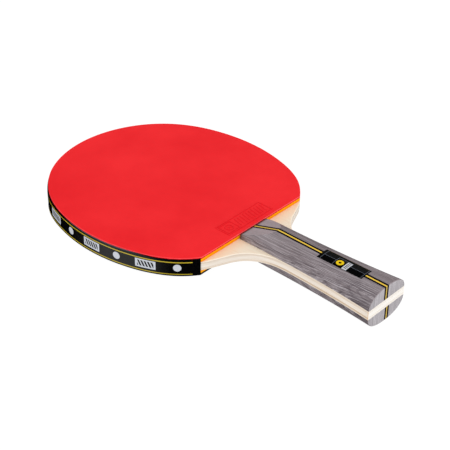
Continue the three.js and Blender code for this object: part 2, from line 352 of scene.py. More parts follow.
def topsheet_material(name, base, light, deep, rim, lit_wall, pimple_gap_shade, specular, rough):
    """Moulded rubber: a satin skin with faint mottling, painted shade on the flanks of the raised panel, painted light
    on the side walls with a painted highlight along the top rim, and painted shade as darker dots between the pimples
    on the cut edge.
    """
    m = Mat(name, rough, specular)
    p, x, y, z = m.pos()
    h = m.ab(m.sub(z, MID_Z))
    up = m.ab(m.normal()[2])
    cloud = m.noise(m.scale(p, 0.03, 0.03, 0.03), detail=3, rough=0.5)
    mott = m.noise(m.scale(p, 0.35, 0.35, 0.35, 3, 7, 1), detail=4, rough=0.6)
    pips = m.voronoi(m.scale(p, 0.55, 0.55, 0.0), random=0.15)
    f = m.add(m.mul(cloud, 0.75), m.mul(mott, 0.25))
    c = m.ramp(f, [(0.34, base), (0.66, light)])
    wear = m.step(m.noise(m.scale(p, 0.09, 0.22, 0.1, 11, 3, 0), detail=2), 0.62, 0.78)
    c = m.mix(m.mul(wear, 0.25), c, light)
    c = m.mix(m.mul(m.step(pips, 0.2, 0.5, 1.0, 0.0), 0.05), c, deep)
    # the moulded panel: painted shade, deeper at the foot and on the flanks of each raised line
    at = m.node("ShaderNodeAttribute", attribute_type="GEOMETRY", attribute_name="relief")
    rel = at.outputs["Fac"]
    flank = m.mul(m.step(rel, 0.02, 0.4), m.step(rel, 0.6, 0.98, 1.0, 0.25))
    c = m.mix(m.mul(flank, 0.8), c, deep)
    # the edge: painted light on the side walls, brightest where the blade has cut it, with painted shade as darker dots
    # between the pimples lower down
    side = m.step(up, 0.35, 0.75, 1.0, 0.0)
    on_cut = m.step(x, 24.0, 24.2)
    edge = m.mix(m.step(mott, 0.4, 0.65), lit_wall, base)
    # painted shade: darker dots in the gaps between the pimples on the cut edge
    cell = m.fract(m.add(m.mul(y, 1 / 2.4), m.add(40.0, m.mul(m.sub(mott, 0.5), 0.5))))
    row = m.mul(m.step(m.ab(m.sub(cell, 0.5)), 0.16, 0.32, 1.0, 0.0), m.step(h, 5.95, 6.15, 1.0, 0.0))
    edge = m.mix(m.mul(m.mul(row, on_cut), 0.85), edge, pimple_gap_shade)
    c = m.mix(side, c, edge)
    # painted highlight along the top lip, stronger on the cut
    lip = m.mul(m.step(h, 6.25, 6.45), m.step(h, 6.68, 6.697, 1.0, 0.0))
    c = m.mix(m.mul(lip, m.add(m.mul(on_cut, 0.6), 0.35)), c, rim)
    m.color(c)
    m.rough(m.step(mott, 0.3, 0.7, rough - 0.05, rough + 0.07))
    grit = m.noise(p, scale=2.2, detail=3, rough=0.6)
    m.bump(m.add(m.mul(grit, 0.5), m.mul(m.step(pips, 0.15, 0.5, 1.0, 0.0), 0.35)), 0.08, 0.05)
    return m.m


# the fourth colour is a painted highlight for the top rim, the fifth painted light on the side walls and the sixth
# painted shade between the pimples
RED = topsheet_material(
    "red_rubber_sheet", lin(242, 29, 37, E), lin(253, 40, 46, E), lin(226, 12, 28, E), lin(255, 112, 116, 1.0),
    lin(255, 46, 56, 1.0), lin(214, 24, 26, E), 0.06, 0.50)
BLACK = topsheet_material(
    "black_rubber_sheet", lin(24, 23, 26, E), lin(34, 33, 37, E), lin(13, 12, 14, E), lin(60, 58, 64, E),
    lin(26, 25, 28, E), lin(7, 6, 7, E), 0.3, 0.46)


def sponge_material(name, light, base, dark):
    """Open-cell rubber sponge: grainy, with small darker pores, deeper in colour toward the wood."""
    m = Mat(name, 0.92, 0.05)
    p, x, y, z = m.pos()
    h = m.ab(m.sub(z, MID_Z))
    big = m.noise(m.scale(p, 0.35, 0.35, 0.9), detail=3, rough=0.6)
    cells = m.voronoi(p, scale=3.4)
    grit = m.noise(p, scale=4.5, detail=3, rough=0.7)
    c = m.mix(m.add(m.step(h, 3.2, 5.0), m.mul(m.sub(big, 0.5), 0.9)), base, light)
    c = m.mix(m.mul(m.step(cells, 0.04, 0.26, 1.0, 0.0), 0.3), c, dark)
    c = m.mix(m.mul(m.step(grit, 0.58, 0.75), 0.15), c, dark)
    m.color(c)
    m.bump(m.add(cells, m.mul(grit, 0.5)), 0.25, 0.10)
    return m.m


SPONGE = sponge_material("orange_sponge", lin(255, 172, 12), lin(255, 146, 2), lin(232, 112, 2))


def ply_material(name, face_a, face_b, face_dark, side_a, side_b, end_a, end_b, streak=0.6, seed=0.0,
                 warm_tone_and_light=None, edge_highlight=None, neck=None):
    """Light wood: long grain on the faces and sides, speckled end grain on the butt."""
    m = Mat(name, 0.62, 0.22)
    p, x, y, z = m.pos()
    nx, ny, nz = m.normal()[:3]
    up = m.step(m.ab(nz), 0.45, 0.92)
    end = m.step(m.ab(nx), 0.93, 0.985)
    end = m.mul(end, m.step(x, 100.0, 110.0))
    bend = m.noise(m.scale(p, 0.018, 0.07, 0.07, seed, 0, 0), detail=1)
    yy = m.add(y, m.mul(m.sub(bend, 0.5), 9.0))
    grain = m.noise(m.vec(m.mul(x, 0.022), m.mul(yy, streak), m.add(m.mul(z, 0.8), seed)), detail=5, rough=0.62)
    fine = m.noise(m.vec(m.mul(x, 0.16), m.mul(yy, 3.4), m.mul(z, 3.4)), detail=3, rough=0.6)
    pores = m.noise(m.vec(m.mul(x, 0.35), m.mul(yy, 5.5), m.mul(z, 5.5)), detail=2, rough=0.5)
    pore = m.mul(m.step(pores, 0.60, 0.70), 0.35)
    face = m.ramp(grain, [(0.32, face_dark), (0.46, face_b), (0.62, face_a)])
    face = m.mix(m.mul(m.step(fine, 0.35, 0.75), 0.22), face, face_a)
    face = m.mix(m.mul(pore, 0.6), face, face_dark)
    if warm_tone_and_light is not None:  # warmer close to the rubber: painted warm light, partly the wood's own tone
        warm = m.step(m.add(x, m.mul(m.sub(bend, 0.5), 5.0)), 28.0, 36.0, 0.85, 0.0)
        face = m.mix(warm, face, warm_tone_and_light)
    long_grain = m.noise(m.vec(m.mul(x, 0.05), m.mul(y, 0.05), m.mul(z, 1.9)), detail=4, rough=0.6)
    side = m.ramp(long_grain, [(0.35, side_b), (0.62, side_a)])
    flecks = m.noise(m.vec(m.mul(x, 0.4), m.mul(y, 0.4), m.mul(z, 6.0)), detail=2)
    side = m.mix(m.mul(m.step(flecks, 0.58, 0.72), 0.35), side, side_b)
    if neck is not None:  # paler where the neck is sanded across the grain
        side = m.mix(m.step(x, 44.0, 60.0, 1.0, 0.0), side, neck)
    if edge_highlight is not None:  # the eased edge catches the light
        rim = m.mul(m.step(m.ab(nz), 0.25, 0.55), m.step(m.ab(nz), 0.90, 0.985, 1.0, 0.0))
        side = m.mix(rim, side, edge_highlight)
    cut = m.noise(m.vec(m.mul(x, 0.5), m.mul(y, 3.2), m.mul(z, 3.2)), detail=4, rough=0.7)
    ends = m.ramp(cut, [(0.38, end_b), (0.62, end_a)])
    c = m.mix(up, side, face)
    corner = m.mul(m.step(x, 127.7, 128.3), m.step(m.ab(ny), 0.6, 0.9))
    c = m.mix(m.mul(corner, 0.7), c, lin(240, 200, 158, E))
    c = m.mix(end, c, ends)
    m.color(c)
    m.rough(m.step(grain, 0.3, 0.7, 0.68, 0.56))
    m.bump(m.add(m.mul(fine, 0.6), m.mul(pores, 0.5)), 0.16, 0.06)
    return m.m


# face veneer: the next-to-last colour is painted warm light near the rubber, partly the wood's own tone, and the last a
# painted highlight on the eased edge
FACE_PLY = ply_material(
    "face_veneer_wood", lin(250, 235, 212, E), lin(249, 228, 204, E), lin(243, 217, 189, E),
    lin(244, 232, 216, E), lin(232, 214, 192, E), lin(253, 249, 243, 0.91), lin(248, 241, 231, 0.90), seed=2.0,
    warm_tone_and_light=lin(254, 221, 188, E), edge_highlight=lin(255, 246, 232, 0.97))
FRONT_INNER = ply_material(
    "front_inner_wood", lin(238, 222, 204, E), lin(230, 212, 193, E), lin(218, 198, 176, E),
    lin(238, 222, 205, E), lin(226, 208, 188, E), lin(252, 246, 238, 0.91), lin(245, 236, 225, 0.90), seed=5.0)
REAR_INNER = ply_material(
    "rear_inner_wood", lin(226, 204, 180, E), lin(216, 193, 168, E), lin(204, 180, 154, E),
    lin(218, 194, 168, E), lin(203, 177, 148, E), lin(251, 244, 235, 0.91), lin(243, 233, 220, 0.90), seed=9.0,
    neck=lin(238, 222, 204, E))
CORE = ply_material(
    "core_wood", lin(247, 237, 226, E), lin(242, 230, 217, E), lin(232, 217, 201, E),
    lin(250, 240, 229, E), lin(238, 224, 207, E), lin(253, 250, 245, 0.92), lin(249, 243, 234, 0.91), seed=13.0)


def grey_wood():
    """Dyed laminated wood: thin vertical layers, seen as long streaks on top and as arcs where the sides flare."""
    m = Mat("grey_laminated_wood", 0.5, 0.25)
    p, x, y, z = m.pos()
    nx, ny, nz = m.normal()[:3]
    end = m.mul(m.step(m.ab(nx), 0.93, 0.985), m.step(x, 120.0, 127.0))
    h = m.ab(m.sub(z, MID_Z))
    slow = m.noise(m.scale(p, 0.012, 0.05, 0.09, 4, 0, 0), detail=2, rough=0.5)
    wave = m.noise(m.scale(p, 0.055, 0.16, 0.22, 0, 5, 0), detail=2, rough=0.5)
    yy = m.add(y, m.add(m.mul(m.sub(slow, 0.5), 5.0), m.mul(m.sub(wave, 0.5), 1.6)))
    layer = m.noise(m.vec(m.mul(x, 0.010), m.mul(yy, 1.05), m.mul(h, 0.05)), detail=5, rough=0.66)
    streak = m.noise(m.vec(m.mul(x, 0.024), m.mul(yy, 2.6), m.mul(h, 0.9)), detail=4, rough=0.6)
    fibre = m.noise(m.vec(m.mul(x, 0.10), m.mul(y, 5.0), m.mul(h, 5.0)), detail=2, rough=0.6)
    pores = m.noise(m.vec(m.mul(x, 0.06), m.mul(yy, 2.6), m.mul(h, 1.8)), detail=3, rough=0.55)
    side = m.mul(m.step(y, -3.0, -7.0), m.step(m.ab(nx), 0.2, 0.26, 1.0, 0.0))  # the near flank is more figured
    f = m.add(m.mul(layer, 0.46), m.add(m.mul(streak, 0.40), m.mul(fibre, 0.14)))
    c = m.ramp(f, [
        (0.36, lin(78, 69, 74, E)), (0.43, lin(112, 101, 106, E)), (0.49, lin(138, 127, 131, E)),
        (0.55, lin(152, 142, 146, E)), (0.65, lin(186, 178, 182, E))])
    fine_v = m.vec(m.mul(x, 0.028), m.mul(m.add(yy, m.mul(h, 0.25)), 3.6), m.mul(h, 0.5))
    fine = m.noise(fine_v, detail=3, rough=0.6)
    c = m.mix(m.mul(m.step(fine, 0.55, 0.66), m.add(m.mul(side, 0.58), 0.28)), c, lin(68, 59, 67, E))
    c = m.mix(m.mul(m.step(fine, 0.46, 0.36), m.add(m.mul(side, 0.72), 0.14)), c, lin(202, 194, 199, E))
    # cathedral arcs where the flare cuts through the layers
    au, av = m.mul(m.sub(x, 131.0), 0.42), m.mul(m.add(y, 12.8), 2.6)
    warp = m.noise(m.vec(m.mul(x, 0.09), m.mul(y, 0.25), m.mul(h, 0.2)), detail=3, rough=0.6)
    rings = m.math("SQRT", m.add(m.mul(au, au), m.mul(av, av)))
    ring = m.fract(m.mul(m.add(rings, m.mul(warp, 2.6)), 0.34))
    arc_mask = m.mul(m.step(x, 98.0, 113.0), side)
    c = m.mix(m.mul(m.mul(m.step(m.ab(m.sub(ring, 0.5)), 0.10, 0.22, 1.0, 0.0), arc_mask), 0.38), c, lin(84, 75, 83, E))
    warm = m.step(slow, 0.42, 0.62)
    c = m.mix(m.mul(warm, 0.35), c, m.mix(0.5, c, lin(132, 117, 116, E)))
    c = m.mix(m.mul(m.step(pores, 0.56, 0.66), 0.7), c, lin(82, 73, 78, E))
    c = m.mix(m.mul(m.mul(side, m.step(x, 46.0, 70.0, 1.0, 0.0)), 0.13), c, lin(200, 190, 194, E))
    c = m.mix(m.step(z, MID_Z - 2.0, MID_Z - 4.0, 0.0, 0.26), c, lin(84, 75, 79, E))  # painted shade: the scale below the blade, on the black side, is darker
    # the sawn bevel is paler and drier than the polished crown, partly its own sawn surface and partly painted light,
    # with painted shade along its foot
    bevel = m.step(m.ab(nx), 0.2, 0.26)
    c = m.mix(m.mul(bevel, 0.6), c, lin(182, 167, 170, E))
    # painted shade where the scale meets the rubber and the blade, darkest at its end
    foot = m.mx(m.mul(m.step(h, 6.0, 7.4, 1.0, 0.0), m.mul(m.step(x, 27.0, 31.0, 1.0, 0.0), 0.5)), m.step(x, 26.1, 27.0, 0.9, 0.0))
    c = m.mix(foot, c, lin(84, 64, 58, E))
    # painted shade: the flank toward the butt is a little darker
    flank = m.mul(m.step(x, 96.0, 120.0), m.step(m.ab(nz), 0.45, 0.8, 1.0, 0.0))
    c = m.mix(m.mul(flank, 0.30), c, lin(84, 76, 82, E))
    # the end shows the same layers edge on, paler where the saw cut opened the fibres
    e_layer = m.noise(m.vec(m.mul(x, 0.01), m.mul(y, 1.5), m.mul(h, 0.06)), detail=4, rough=0.7)
    e_speck = m.noise(m.vec(m.mul(x, 0.1), m.mul(y, 5.0), m.mul(h, 3.0)), detail=3, rough=0.7)
    e = m.ramp(m.add(m.mul(e_layer, 0.8), m.mul(e_speck, 0.2)), [
        (0.36, lin(150, 145, 149, E)), (0.46, lin(179, 174, 178, E)), (0.56, lin(194, 189, 193, E)),
        (0.66, lin(214, 209, 213, E))])
    c = m.mix(end, c, e)
    m.color(c)
    m.rough(m.step(streak, 0.3, 0.7, 0.56, 0.44))
    m.bump(m.add(m.mul(streak, 0.5), m.add(m.mul(fibre, 0.5), m.mul(pores, 0.5))), 0.18, 0.07)
    return m.m


GREY = grey_wood()


def inlay_material(name, dark, light, sawn, rough, specular):
    m = Mat(name, rough, specular)
    p, x, y, z = m.pos()
    g = m.noise(m.vec(m.mul(x, 0.08), m.mul(y, 3.0), m.mul(z, 3.0)), detail=4, rough=0.6)
    s = m.noise(m.vec(m.mul(x, 0.4), m.mul(y, 6.0), m.mul(z, 6.0)), detail=2)
    c = m.ramp(m.add(m.mul(g, 0.7), m.mul(s, 0.3)), [(0.36, dark), (0.62, light)])
    nx = m.normal()[0]
    dull = m.mx(m.step(nx, 0.6, 0.9), m.mul(m.step(m.mul(nx, -1), 0.2, 0.26), 0.8))
    m.color(m.mix(m.mul(dull, 0.5), c, sawn))
    m.rough(m.step(g, 0.3, 0.7, rough + 0.06, rough - 0.05))
    m.bump(m.add(g, s), 0.12, 0.05)
    return m.m


YELLOW = inlay_material("yellow_inlay", lin(236, 190, 52, E), lin(252, 216, 84, E), lin(176, 158, 96, E), 0.5, 0.12)
NAVY = inlay_material("black_inlay", lin(7, 6, 20, E), lin(20, 17, 38, E), lin(26, 24, 40, E), 0.45, 0.12)


def tape_material():
    """Printed plastic tape: satin black, two thin gold lines, pale blocks with slanted bars and plain discs."""
    m = Mat("printed_edge_tape", 0.3, 0.45)
    a = m.node("ShaderNodeAttribute", attribute_type="GEOMETRY", attribute_name="band")
    sep = m.node("ShaderNodeSeparateXYZ")
    m.put(sep.inputs[0], a.outputs["Vector"])
    s, h = sep.outputs[0], sep.outputs[1]
    p, x, y, z = m.pos()
    length = BAND_LENGTH
    lines = m.mx(m.step(m.ab(m.sub(h, 3.65)), 0.28, 0.38, 1.0, 0.0), m.step(m.ab(m.add(h, 5.1)), 0.26, 0.36, 1.0, 0.0))
    stop = length - TAPE_SHORT_FAR - 5.0  # the gold lines end here
    last = 20.0 * math.floor((stop - 8.0 - 15.0) / 20.0) + 15.0  # the last printed mark that fits
    run = m.mul(m.step(s, 5.75, 5.85), m.step(s, stop - 0.1, stop, 1.0, 0.0))
    lines = m.mul(lines, run)
    q = m.mul(m.fract(m.math("DIVIDE", m.sub(s, 15.0 - 20.0), 40.0)), 40.0)  # 20 on a disc, 0 or 40 in the middle of a block
    hh = m.add(h, 0.3)
    dq = m.sub(q, 20.0)
    disc = m.step(m.math("SQRT", m.add(m.mul(dq, dq), m.mul(hh, hh))), 2.45, 2.58, 1.0, 0.0)
    bq = m.sub(20.0, m.ab(dq))  # distance from the middle of a block
    sq = m.mul(bq, m.math("SIGN", dq))  # the same, signed
    block = m.mul(m.step(bq, 6.65, 6.75, 1.0, 0.0), m.step(m.ab(hh), 2.95, 3.05, 1.0, 0.0))
    field = m.mul(m.step(bq, 5.35, 5.45, 1.0, 0.0), m.step(m.ab(hh), 1.95, 2.05, 1.0, 0.0))
    slant = m.add(m.math("DIVIDE", m.add(sq, m.mul(hh, 0.45)), 2.16), 0.25 + 10)
    bars = m.step(m.ab(m.sub(m.fract(slant), 0.5)), 0.27, 0.33, 1.0, 0.0)
    silver = m.mul(m.mx(disc, block), m.sub(1.0, m.mul(field, bars)))
    ends = m.mul(m.step(s, 8.0, 8.1), m.step(s, last + 8.0, last + 8.1, 1.0, 0.0))
    silver = m.mul(silver, ends)
    scuff = m.noise(m.vec(m.mul(s, 0.25), m.mul(h, 1.4), 0.0), detail=4, rough=0.65)
    dust = m.noise(p, scale=1.6, detail=4, rough=0.7)
    black = m.ramp(m.add(m.mul(scuff, 0.6), m.mul(dust, 0.4)), [(0.35, lin(1, 1, 2, E)), (0.68, lin(7, 6, 8, E))])
    # painted reflection: bluish grey along part of the tape's upper rim
    rim_reflection = m.mul(m.step(h, 5.3, 5.7), m.mul(m.step(s, 34.0, 50.0), m.step(s, 86.0, 104.0, 1.0, 0.0)))
    black = m.mix(m.mul(rim_reflection, 0.8), black, lin(96, 106, 116, E))
    pale = m.ramp(dust, [(0.3, lin(192, 197, 207, E)), (0.7, lin(216, 220, 228, E))])
    gold = m.ramp(dust, [(0.3, lin(186, 164, 20, E)), (0.7, lin(208, 184, 40, E))])
    c = m.mix(lines, black, gold)
    c = m.mix(silver, c, pale)
    m.color(c)
    m.rough(m.step(scuff, 0.3, 0.7, 0.27, 0.38))
    m.bump(m.add(m.mul(scuff, 0.6), m.mul(dust, 0.4)), 0.12, 0.08)
    return m.m


def badge_material():
    """Black enamelled plate with fine silver rules, one gold edge rule, a yellow disc and a pale bar in a small frame."""
    m = Mat("enamel_badge", 0.3, 0.12)
    p, x, y, z = m.pos()
    nz = m.normal()[2]
    top = m.step(nz, 0.5, 0.8)
    w = 0.11
    rule_a = m.box(x, y, 82.0 - w, 82.0 + w, -5.1, 5.1, 0.03)
    rule_b = m.box(x, y, 112.2 - w, 112.2 + w, -5.1, 5.1, 0.03)
    mid_a = m.box(x, y, 82.0, 91.0, -0.35 - w, -0.35 + w, 0.03)
    mid_b = m.box(x, y, 101.5, 112.2, -0.35 - w, -0.35 + w, 0.03)
    cell = m.frame_line(x, y, 91.1, 101.4, -5.2, 2.7, 0.26, 0.04)
    silver = m.mx(m.mx(rule_a, rule_b), m.mx(m.mx(mid_a, mid_b), cell))
    gold = m.box(x, y, 81.0, 111.6, 4.78, 4.98, 0.04)
    dx, dy = m.sub(x, 94.35), m.sub(y, -1.2)
    r = m.math("SQRT", m.add(m.mul(dx, dx), m.mul(dy, dy)))
    disc = m.mul(m.step(r, 2.42, 2.5, 1.0, 0.0), m.step(r, 0.85, 0.93))
    bar = m.box(x, y, 98.0, 101.2, -4.9, 2.5, 0.05)
    slit = m.mul(m.box(x, y, 98.55, 100.65, -4.4, 2.0, 0.05), m.step(m.ab(m.sub(m.fract(m.add(m.mul(y, 0.78), 20.1)), 0.5)), 0.24, 0.30, 1.0, 0.0))
    pale = m.mul(bar, m.sub(1.0, m.mul(slit, 1.0)))
    grit = m.noise(p, scale=1.4, detail=4, rough=0.6)
    near = m.step(y, -0.5, -0.2)
    black = m.mix(near, m.ramp(grit, [(0.3, lin(4, 4, 5, E)), (0.7, lin(12, 12, 13, E))]),
                  m.ramp(grit, [(0.3, lin(20, 20, 20, E)), (0.7, lin(32, 32, 32, E))]))
    c = m.mix(m.mul(silver, 0.75), black, lin(120, 126, 140, E))
    c = m.mix(m.mul(gold, 0.8), c, lin(120, 96, 30, E))
    c = m.mix(disc, c, m.ramp(grit, [(0.3, lin(232, 194, 0, E)), (0.7, lin(246, 210, 18, E))]))
    c = m.mix(pale, c, m.ramp(grit, [(0.3, lin(206, 208, 214, E)), (0.7, lin(228, 230, 235, E))]))
    c = m.mix(top, m.ramp(grit, [(0.3, lin(12, 12, 12, E)), (0.7, lin(26, 26, 26, E))]), c)
    m.color(c)
    m.rough(m.step(grit, 0.3, 0.7, 0.26, 0.36))
    m.bump(m.add(m.mul(grit, 0.35), m.mul(m.mx(silver, m.mx(disc, pale)), 0.6)), 0.15, 0.05)
    return m.m


# ------------------------------------------------------------------ blade plies
BLADE = np.vstack([HEAD, side_curve(-0.2)[1:] * [1, -1], side_curve(0.95)[1:][::-1]])
ROUND, ROUND_LOW = 0.8, 0.4


def blade_round():
    """Radius of the sanded edge at each point of the blade's outline: full at the neck, none under the rubber and beside the scales."""
    x, y = BLADE[:, 0], np.abs(BLADE[:, 1])
    r = ROUND * smooth01((x - CUT_X) / 2.2) * (1 - smooth01((x - 46) / 15))
    r[: HEAD_N + 1] = 0
    return np.where(x > BUTT_X - 0.01, 0.0, r)


EDGE_R = blade_round()


def blade_inset(h):
    r = EDGE_R * (1 if h > 0 else ROUND_LOW / ROUND)
    over = np.maximum(0, abs(h) - (FACE - r))
    return r - np.sqrt(np.maximum(0, r * r - over * over)) + (0.02 if abs(h) in (FACE,) else 0)


def ply(name, low, high, material):
    arc = [FACE - ROUND * (1 - math.sin(t)) for t in np.linspace(0, math.pi / 2, 10)]
    levels = {low, high}
    arc += [FACE - ROUND_LOW * (1 - math.sin(t)) for t in np.linspace(0, math.pi / 2, 7)]
    for h in arc:
        for s in (h, -h):
            if low + 0.04 < s < high - 0.012:
                levels.add(s)
    levels = sorted(levels)
    verts, faces, side = prism(BLADE, levels, blade_inset)
    return new_object(name, verts, faces, [material], smooth=side)


ply("blade_core_ply", -HALF, HALF, CORE)
ply("front_inner_ply", HALF + GLUE / 2, INNER, FRONT_INNER)
ply("rear_inner_ply", -INNER, -HALF - GLUE / 2, REAR_INNER)
ply("front_face_ply", INNER + GLUE / 2, FACE, FACE_PLY)
ply("rear_face_ply", -FACE, -INNER - GLUE / 2, FACE_PLY)

# ------------------------------------------------------------------ rubbers
_cut_y = np.linspace(HEAD[-1, 1], HEAD[0, 1], 300)[1:-1]
SHEET = np.vstack([HEAD, np.column_stack([np.full(len(_cut_y), CUT_X), _cut_y])])
ON_CUT = np.zeros(len(SHEET), bool)
ON_CUT[HEAD_N + 1 :] = True
# square corners: the two corner points keep their place when the outline is moved in
CUT_Y = SHEET[:, 1]


def pip_recess(seed):
    """How far the cut edge falls back between the pimples, 0 on a pimple and 1 between them."""
    y = CUT_Y[ON_CUT]
    g = np.random.default_rng(seed)
    centres = np.arange(-46.0, 47.0, 2.4)
    centres = centres + g.uniform(-0.16, 0.16, len(centres))
    width = 0.72 + g.uniform(-0.15, 0.15, len(centres))
    d = np.abs(y[:, None] - centres[None, :]) / width[None, :]
    on = smooth01(1.6 - d.min(1))
    out = np.zeros(len(SHEET))
    out[ON_CUT] = 1 - on
    out[np.abs(CUT_Y) > 45.9] = 0
    return out


def stroke(d, width, soft=0.18):
    """Ridge profile from the distance to a line."""
    return smooth01((width / 2 + soft - d) / (2 * soft))


def panel_height(x, y):
    """Raised maker's panel, all plain shapes: a frame, a square cell with a ring, and a row of slanted bars."""
    h = np.zeros_like(x)

    def rect(x0, x1, y0, y1, width):
        du = np.abs(x - (x0 + x1) / 2) - (x1 - x0) / 2
        dv = np.abs(y - (y0 + y1) / 2) - (y1 - y0) / 2
        return stroke(np.abs(np.maximum(du, dv)), width)

    h = np.maximum(h, rect(9.9, 21.2, -17.9, 22.6, 0.75))
    h = np.maximum(h, rect(11.1, 20.0, -16.7, -6.6, 0.55))
    r = np.hypot(x - 15.55, y + 11.65)
    h = np.maximum(h, stroke(np.abs(r - 2.6), 0.9))
    h = np.maximum(h, stroke(r, 1.3))
    inside = smooth01((3.9 - np.abs(x - 15.55)) / 0.3) * smooth01((13.0 - np.abs(y - 8.4)) / 0.3)
    k = (y + 0.22 * (x - 15.55) + 4.6) / 2.6
    bars = smooth01((0.27 - np.abs(k - np.floor(k) - 0.5)) / 0.09)
    h = np.maximum(h, bars * inside)
    return h


def sheet_outline(cut_x):
    """The rubber's outline with its straight edge at cut_x."""
    if cut_x == CUT_X:
        return SHEET
    out = SHEET.copy()
    run = np.concatenate([[0], np.cumsum(np.linalg.norm(np.diff(HEAD, axis=0), axis=1))])
    tangent = np.gradient(HEAD, axis=0)
    tangent /= np.linalg.norm(tangent, axis=1, keepdims=True)
    trim = 1.6 * (1 - smooth01(run / 24))  # trimmed a little short of the wood at the +Y corner
    out[: HEAD_N + 1] -= np.column_stack([tangent[:, 1], -tangent[:, 0]]) * trim[:, None]
    for i, j in ((0, 3), (HEAD_N, HEAD_N - 3)):
        t = (cut_x - out[j, 0]) / (out[i, 0] - out[j, 0])
        out[i] = out[j] + t * (out[i] - out[j])
    low_, high_ = out[HEAD_N, 1], out[0, 1]
    k = np.linspace(0, 1, int(ON_CUT.sum()) + 2)[1:-1]
    out[ON_CUT] = np.column_stack([np.full(len(k), cut_x), low_ + k * (high_ - low_)])
    for i, j in ((1, 0), (2, 0), (HEAD_N - 1, HEAD_N), (HEAD_N - 2, HEAD_N)):
        f = abs(i - j) / 3
        far = 3 if j == 0 else HEAD_N - 3
        out[i] = out[j] + f * (out[far] - out[j])
    return out


def rubber(name, sign, material, relief, seed):
    """A top sheet. sign is 1 for the front and -1 for the back, where the sheet is turned over."""
    top, bottom = SHEET_H, SPONGE_H + GLUE
    skin = bottom + 0.62
    r = 0.13
    outline = sheet_outline(CUT_X if sign > 0 else REAR_CUT_X)
    levels = [bottom, bottom + 0.1, skin - 0.1, skin + 0.02, top - r]
    levels += [top - r + r * math.sin(t) for t in np.linspace(0, math.pi / 2, 6)[1:]]
    recess = pip_recess(seed)
    edge = 0.02 * ripple(CUT_Y, seed + 1)
    n = len(outline)
    normal = outward(outline)
    # the soft skin swells a little past the tape's rim
    turn = np.degrees(np.arctan2(outline[:, 1], outline[:, 0] - HEAD_X)) % 360
    proud = 0.28 * smooth01((turn - 42) / 12) * (1 - smooth01((turn - 205) / 12))
    proud = proud + 0.14 * smooth01((turn - 238) / 10) * (1 - smooth01((turn - 275) / 12))
    proud[ON_CUT] = 0
    rings = []
    for h in levels:
        over = max(0, h - (top - r))
        inset = np.full(n, r - math.sqrt(max(0, r * r - over * over)))
        if h < skin - 0.01:
            inset = inset + 0.10 * recess
        inset = inset + np.where(ON_CUT, np.abs(edge), 0)
        if sign > 0 and h > skin - 0.01:
            inset = inset - proud
        p = outline - normal * inset[:, None]
        rings.append(np.column_stack([p, np.full(n, h)]))
    verts = [np.vstack(rings)]
    faces, smooth = [], []
    for k in range(len(levels) - 1):
        a, b = k * n, (k + 1) * n
        for i in range(n):
            j = (i + 1) % n
            faces.append((a + i, a + j, b + j, b + i))
            smooth.append(True)
    faces.append(tuple(range(n - 1, -1, -1)))
    smooth.append(False)
    # top face: the panel's fine grid joined to the outline
    gx = np.arange(8.4, 23.9, 0.2)
    gy = np.arange(-19.6, 24.4, 0.2)
    grid = np.array([(a, b) for a in gx for b in gy])
    wide = np.array([(a, b) for a in np.arange(-124, 20, 6.0) for b in np.arange(-72, 73, 6.0)])
    rr = np.hypot(wide[:, 0] - HEAD_X, wide[:, 1])
    aa = np.arctan2(wide[:, 1], wide[:, 0] - HEAD_X)
    limit = sum(c * np.cos(k * aa) for k, c in enumerate(HEAD_R))
    keep = (rr < limit - 3.5) & (wide[:, 0] < CUT_X - 3.5) & ~(
        (wide[:, 0] > 5.5) & (wide[:, 1] > -23) & (wide[:, 1] < 27.5))
    inner_pts = np.vstack([grid, wide[keep]])
    ring = rings[-1][:, :2]
    pts = [Vector(p) for p in ring] + [Vector(p) for p in inner_pts]
    edges = [(i, (i + 1) % n) for i in range(n)]
    out_v, _, out_f, orig, _, _ = delaunay_2d_cdt(pts, edges, [], 1, 1e-6)
    base = (len(levels) - 1) * n
    index = {}
    extra = []
    for i, o in enumerate(orig):
        ring_ids = [q for q in o if q < n]
        if ring_ids:
            index[i] = base + ring_ids[0]
        else:
            index[i] = base + n + len(extra)
            extra.append((out_v[i].x, out_v[i].y))
    extra = np.array(extra)
    ph = panel_height(extra[:, 0], extra[:, 1] * sign)
    z = top + relief * ph
    verts.append(np.column_stack([extra, z]))
    for f in out_f:
        f = [index[i] for i in f]
        faces.append(tuple(f))
        smooth.append(True)
    verts = np.vstack(verts)
    if sign < 0:
        verts[:, 2] *= -1
        faces = [tuple(reversed(f)) for f in faces]
    obj = new_object(name, verts, faces, [material], smooth=smooth, sharp_deg=50)
    at = obj.data.attributes.new("relief", "FLOAT", "POINT")
    at.data.foreach_set("value", np.concatenate([np.zeros(len(verts) - len(ph)), ph]).astype(np.float32))
    return obj


rubber("front_topsheet", 1, RED, 0.34, 21)
rubber("rear_topsheet", -1, BLACK, 0.34, 31)


def sponge(name, low, high, seed):
    levels = np.linspace(low, high, 8)
    g = np.random.default_rng(seed)
    rough = g.uniform(0, 1, (len(levels), len(SHEET)))
    soft = (np.roll(rough, 1, 1) + 2 * rough + np.roll(rough, -1, 1)) / 4
    table = {float(h): 0.10 * soft[k] * ON_CUT for k, h in enumerate(levels)}
    outline = sheet_outline(CUT_X if low > 0 else REAR_CUT_X)
    verts, faces, side = prism(outline, [float(h) for h in levels], lambda h: table[h])
    return new_object(name, verts, faces, [SPONGE], smooth=side, sharp_deg=60)


sponge("front_sponge", FACE + GLUE, SPONGE_H, 41)
sponge("rear_sponge", -SPONGE_H, -FACE - GLUE, 51)

# ------------------------------------------------------------------ edge tape
_seg = np.linalg.norm(np.diff(HEAD, axis=0), axis=1)
_run = np.concatenate([[0], np.cumsum(_seg)])
BAND_LENGTH = float(_run[-1])


